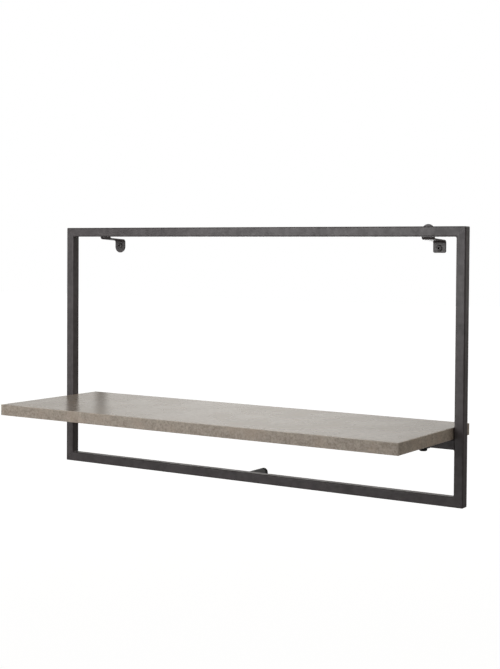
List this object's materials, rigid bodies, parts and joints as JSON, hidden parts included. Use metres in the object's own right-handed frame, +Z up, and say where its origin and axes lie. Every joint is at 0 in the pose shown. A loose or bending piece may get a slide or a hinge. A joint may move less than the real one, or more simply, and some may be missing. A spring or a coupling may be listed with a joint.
{
  "type": "wall shelf",
  "caption": "Wall shelf: a board set low through an upright rectangular frame of square steel tube, held off the wall by small Z-shaped brackets and a round spacer.",
  "frame": {"origin": "on the wall plane, at the centre of the board's back edge (half its width and half its thickness)", "axes": "+X to the right along the shelf as seen from the room, +Y into the wall, +Z up"},
  "size_m": [0.65, 0.2, 0.3532],
  "materials": {
    "frame_paint": "satin dark grey powder coat",
    "bracket_paint": "satin black powder coat",
    "concrete_decor": "matt laminate with a light concrete look",
    "concrete_edge": "matt edge band with a darker concrete look",
    "chipboard": "raw chipboard",
    "zinc_steel": "zinc plated",
    "yellow_zinc": "yellow zinc plated",
    "black_steel": "black oxide",
    "black_plastic": "fine matt",
    "black_rubber": "matt"
  },
  "bodies": {
    "root": {"top_rail": "frame_paint", "bottom_rail": "frame_paint", "left_post": "frame_paint", "right_post": "frame_paint", "cross_rail": "frame_paint", "corner_weld_beads": "frame_paint", "cross_rail_weld_beads": "frame_paint", "board_core": "chipboard", "top_laminate": "concrete_decor", "bottom_laminate": "concrete_decor", "front_edge_band": "concrete_edge", "back_edge_band": "concrete_edge", "left_edge_band": "concrete_edge", "right_edge_band": "concrete_edge", "left_wall_bracket": "bracket_paint", "right_wall_bracket": "bracket_paint", "bracket_rivet_nuts": "zinc_steel", "bracket_screws": "black_steel", "board_inserts": "yellow_zinc", "board_washers": "black_steel", "board_bolts": "black_steel", "spacer_rivet_nut": "zinc_steel", "spacer_stud": "zinc_steel", "spacer_body": "black_plastic", "spacer_tip": "black_rubber"}
  },
  "joints": []
}
